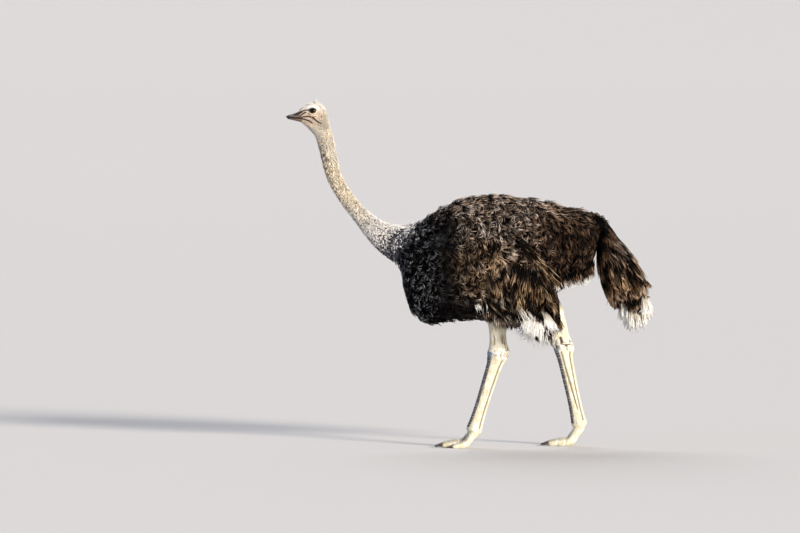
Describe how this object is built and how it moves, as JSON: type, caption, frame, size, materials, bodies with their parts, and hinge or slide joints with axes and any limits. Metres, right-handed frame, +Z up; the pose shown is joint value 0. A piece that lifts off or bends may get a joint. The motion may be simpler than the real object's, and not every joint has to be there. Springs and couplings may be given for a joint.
{
  "type": "ostrich",
  "caption": "Walking ostrich at life size: flat-billed head, long curved neck, rounded dark-plumed body, hanging wings with white tips, drooping tail and two-toed feet.",
  "frame": {"origin": "centre of the bounding box on the ground under the soles", "axes": "+Z up, the bird faces -X, its left side is -Y"},
  "size_m": [1.9773, 0.616, 1.8787],
  "materials": {
    "plumage_dark": "loose dark-brown body feathers, matt, paler and browner at their tips",
    "plumage_white": "soft white plumes, streaked with brown near their roots",
    "down": "short bristly cream down over buff skin, salt-and-pepper towards the breast",
    "leg_skin": "bare buff skin with horny scutes down the front of each leg",
    "bill_horn": "satin horn, pinkish brown with a dark tip and edge",
    "claw_horn": "satin dark horn",
    "eye": "wet dark-brown eye"
  },
  "bodies": {
    "root": {"head": "down", "eye_left": "eye", "eye_right": "eye", "bill_upper": "bill_horn", "bill_lower": "bill_horn", "neck_upper": "down", "neck_middle": "down", "neck_lower": "down", "trunk": "plumage_dark", "wing_left": "plumage_dark", "wing_right": "plumage_dark", "wing_plumes_left": "plumage_white", "wing_plumes_right": "plumage_white", "tail": "plumage_dark", "tail_plumes": "plumage_white", "thigh_left": "leg_skin", "thigh_right": "leg_skin", "tarsus_left": "leg_skin", "tarsus_right": "leg_skin", "toe_big_left": "leg_skin", "toe_big_right": "leg_skin", "toe_small_left": "leg_skin", "toe_small_right": "leg_skin", "claw_left": "claw_horn", "claw_right": "claw_horn"}
  },
  "joints": []
}
